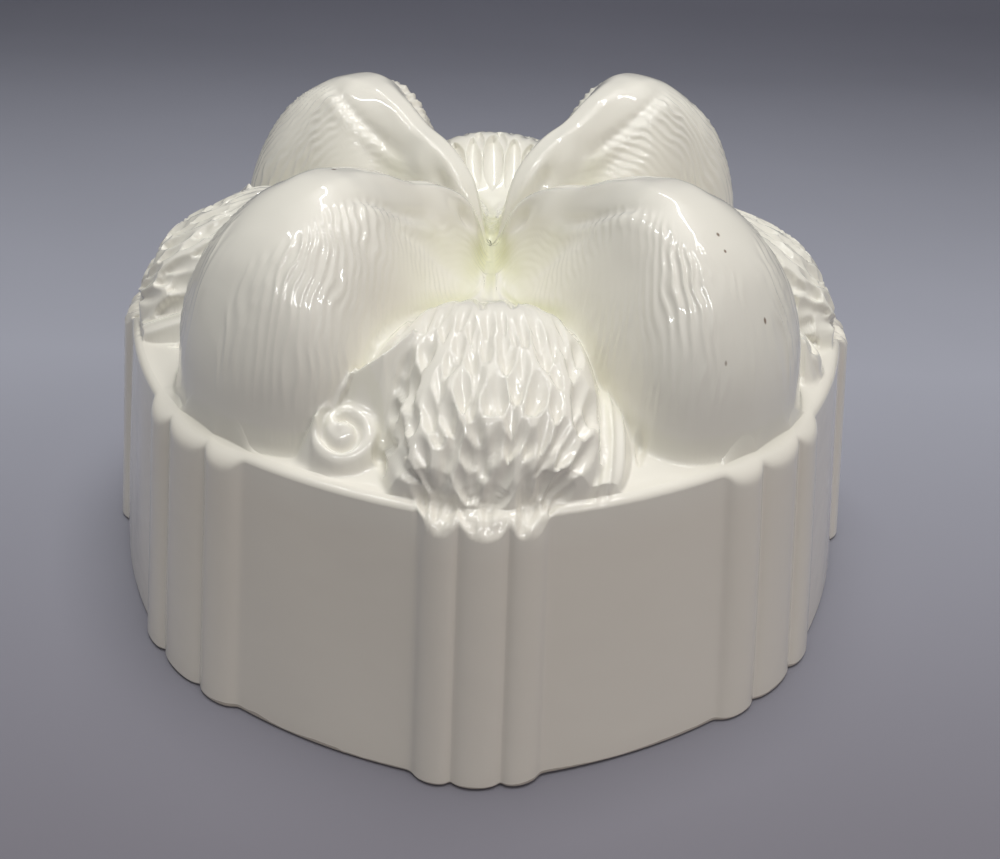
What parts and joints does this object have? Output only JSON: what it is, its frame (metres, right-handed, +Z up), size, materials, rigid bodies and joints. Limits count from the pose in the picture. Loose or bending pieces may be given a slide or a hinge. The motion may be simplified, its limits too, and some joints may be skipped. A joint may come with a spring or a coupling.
{
  "type": "ceramic jelly mould",
  "caption": "Hollow glazed ceramic jelly mould with a reeded eight-sided wall and a moulded crown of shell-like lobes between bunches of leaves.",
  "frame": {"origin": "middle of the mouth, on the plane that the mouth rests on", "axes": "+Z up through the moulded crown; -Y towards the face that the picture is taken from; +X to the right of that face"},
  "size_m": [0.1876, 0.1876, 0.1015],
  "materials": {
    "glazed_body": "gloss"
  },
  "bodies": {
    "root": {"mould": "glazed_body"}
  },
  "joints": []
}
